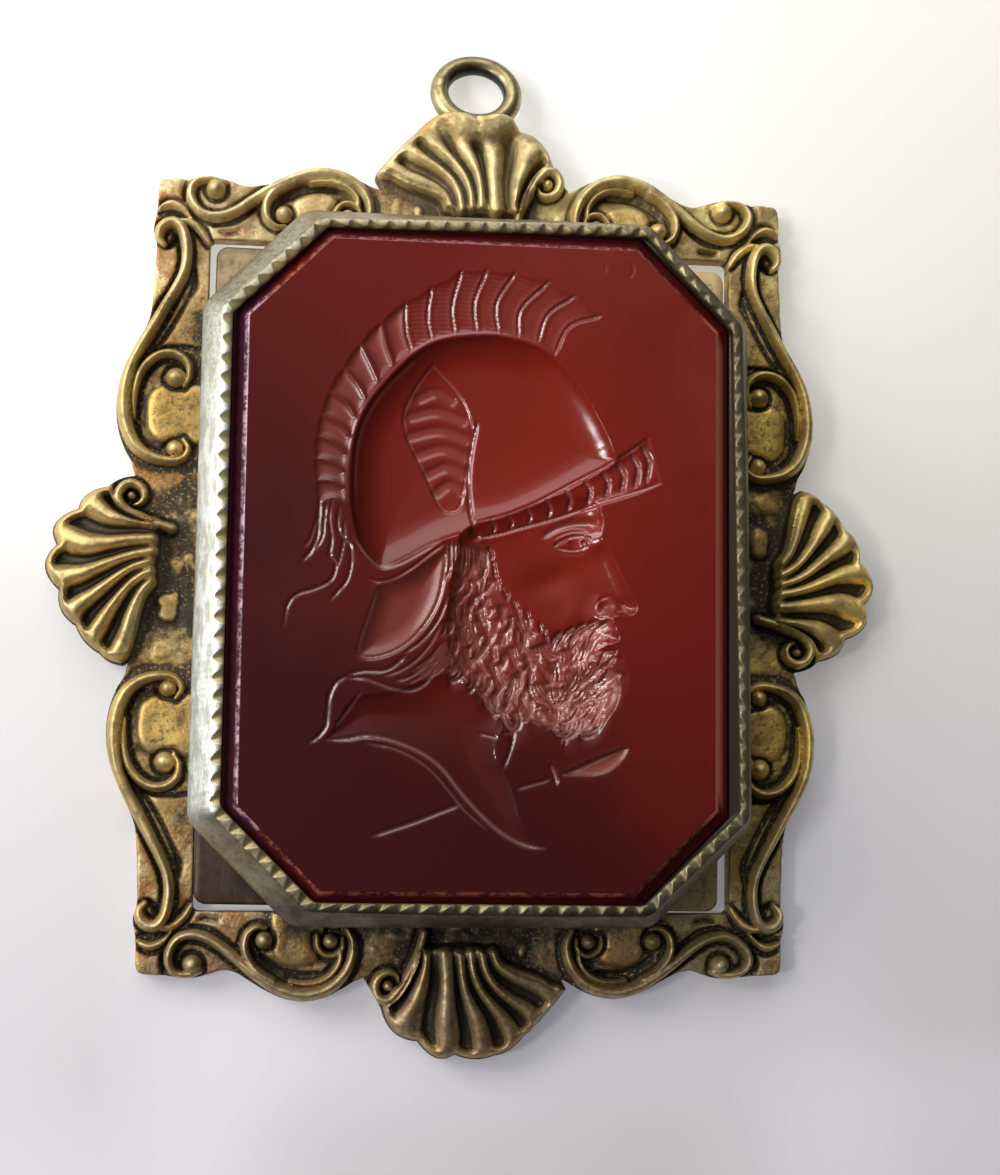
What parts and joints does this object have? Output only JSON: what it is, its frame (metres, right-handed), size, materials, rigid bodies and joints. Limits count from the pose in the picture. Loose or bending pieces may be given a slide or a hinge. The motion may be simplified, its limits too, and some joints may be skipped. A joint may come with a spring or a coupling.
{
  "type": "intaglio fob seal",
  "caption": "Brass fob pendant with a struck scroll and shell border, a fixed eye, and an octagonal milled bezel that holds a cut-corner carnelian-red seal stone.",
  "frame": {"origin": "middle of the bounding box in X and Y, on the surface that the seal lies on", "axes": "+X to the right of the face, +Y towards the eye, +Z out of the face"},
  "size_m": [0.038, 0.0462, 0.0052],
  "materials": {
    "struck_brass": "struck, antiqued: near-black patina in the hollows, crests rubbed bright",
    "eye_brass": "drawn wire, dulled, green-black inside the eye",
    "bezel_metal": "silvered and worn, gilt on the milled teeth, brushed on the back plate",
    "seal_stone": "polished, cloudy carnelian red, matt in the engraving"
  },
  "bodies": {
    "root": {"frame": "struck_brass", "ring": "eye_brass", "setting": "bezel_metal", "stone": "seal_stone"}
  },
  "joints": []
}
